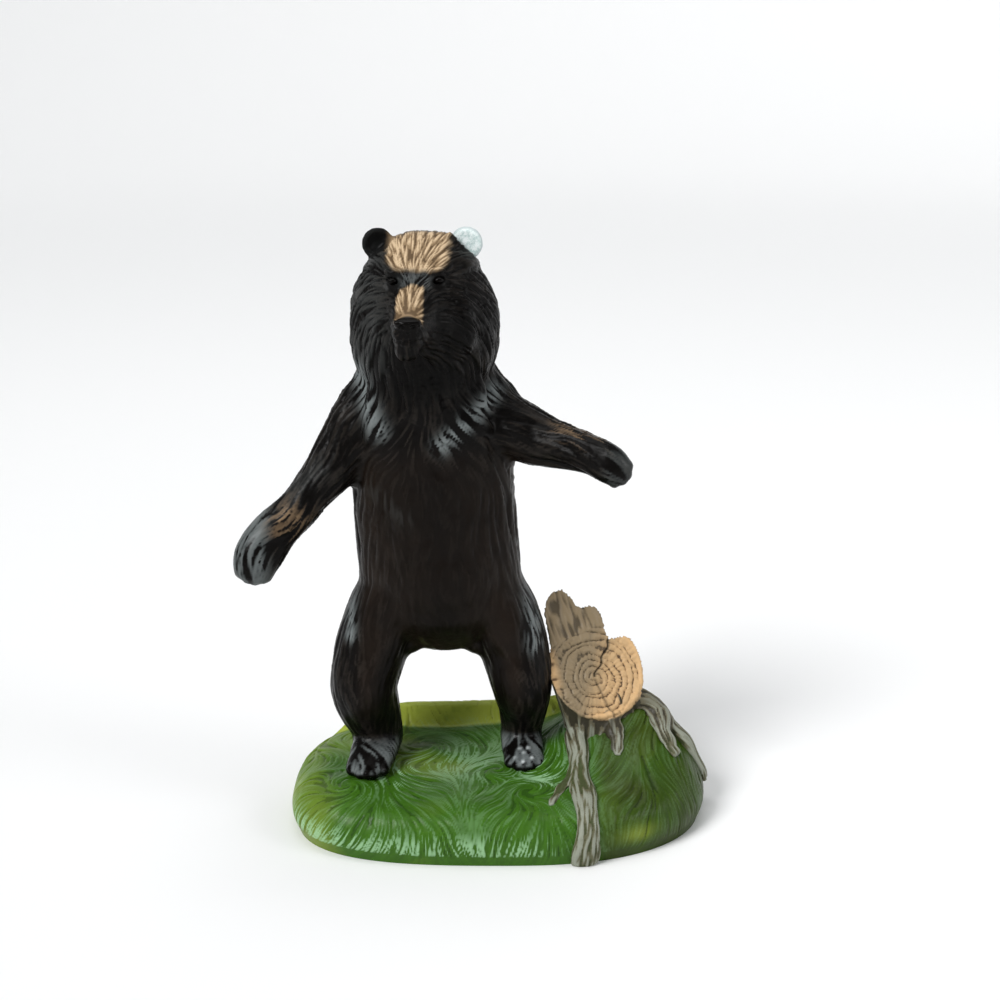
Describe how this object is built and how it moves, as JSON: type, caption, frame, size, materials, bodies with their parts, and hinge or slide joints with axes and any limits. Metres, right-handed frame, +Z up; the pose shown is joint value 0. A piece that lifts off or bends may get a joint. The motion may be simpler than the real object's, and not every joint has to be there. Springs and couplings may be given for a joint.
{
  "type": "ceramic bear figurine",
  "caption": "Glazed ceramic bear standing upright with its arms held out, on a grassy mound with a slant-cut tree stump and roots, cast as one piece.",
  "frame": {"origin": "on the flat underside of the mound, at the middle of the mound's outline", "axes": "+Z up, out of the grass; the bear faces -Y, and its left arm and the stump are on the +X side"},
  "size_m": [0.2008, 0.1122, 0.2535],
  "materials": {
    "bear": null,
    "grass": "glossy green glaze with olive, dark green and pale mint streaks, on the mound",
    "stump": "satin tan and grey-brown glaze, on the stump and its roots"
  },
  "bodies": {
    "root": {"bear_figurine": "bear"}
  },
  "joints": []
}
